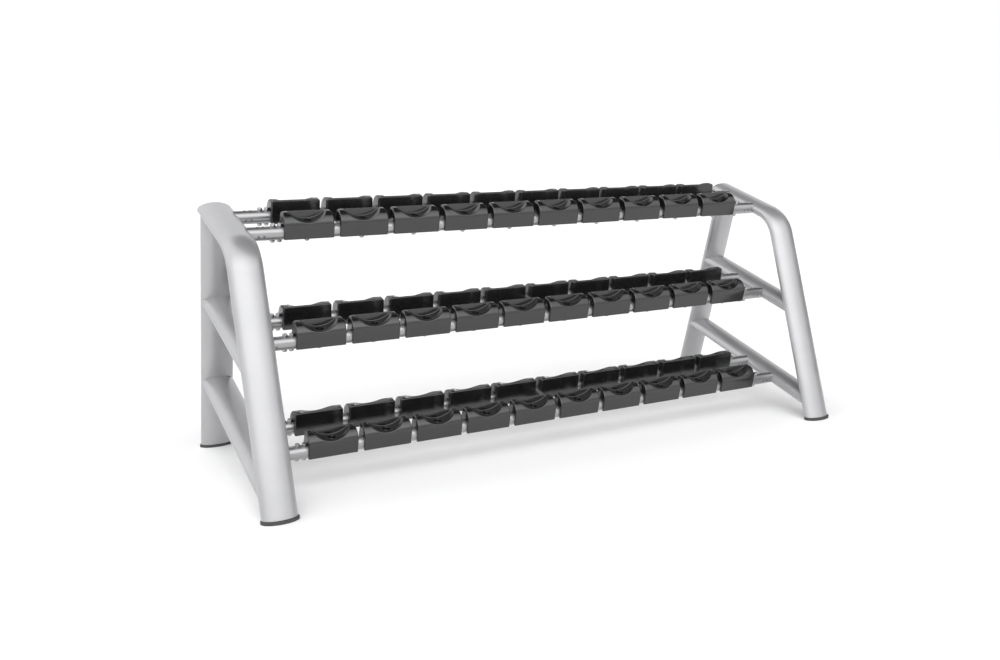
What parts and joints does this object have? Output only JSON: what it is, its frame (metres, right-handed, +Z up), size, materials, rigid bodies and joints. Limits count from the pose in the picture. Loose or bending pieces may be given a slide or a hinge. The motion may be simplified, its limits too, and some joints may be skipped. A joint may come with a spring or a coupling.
{
  "type": "dumbbell rack",
  "caption": "Three-tier dumbbell rack with bent oval-tube side frames, sloping pairs of round rails and moulded saddles in facing pairs.",
  "frame": {"origin": "on the floor, at the middle of the rack's footprint", "axes": "+X along the rails, +Y from the user's side towards the rear, +Z up"},
  "size_m": [2.558, 0.969, 1.0117],
  "materials": {
    "frame_paint": "satin silver-grey powder coat",
    "rail_metal": "bright silver metallic coat on round tube",
    "saddle_plastic": "matte black moulded polyurethane",
    "foot_rubber": "matte dark grey moulded rubber",
    "cap_plastic": "matte dark moulded end cap",
    "spigot_steel": "plain steel, hidden inside the rails",
    "fastener_zinc": "bright zinc-plated steel"
  },
  "bodies": {
    "root": {"left_front_leg": "frame_paint", "left_rear_leg": "frame_paint", "left_middle_crossbar": "frame_paint", "left_lower_crossbar": "frame_paint", "right_front_leg": "frame_paint", "right_rear_leg": "frame_paint", "right_middle_crossbar": "frame_paint", "right_lower_crossbar": "frame_paint", "front_feet": "foot_rubber", "rear_feet": "foot_rubber", "arm_end_caps": "cap_plastic", "rail_spigots": "spigot_steel", "top_front_rail": "rail_metal", "top_rear_rail": "rail_metal", "middle_front_rail": "rail_metal", "middle_rear_rail": "rail_metal", "lower_front_rail": "rail_metal", "lower_rear_rail": "rail_metal", "top_centre_brace": "rail_metal", "middle_centre_brace": "rail_metal", "lower_centre_brace": "rail_metal", "top_front_saddles": "saddle_plastic", "top_rear_saddles": "saddle_plastic", "middle_front_saddles": "saddle_plastic", "middle_rear_saddles": "saddle_plastic", "lower_front_saddles": "saddle_plastic", "lower_rear_saddles": "saddle_plastic", "saddle_bolts": "fastener_zinc", "saddle_nuts": "fastener_zinc", "rail_bolts": "fastener_zinc", "rail_nuts": "fastener_zinc"}
  },
  "joints": []
}
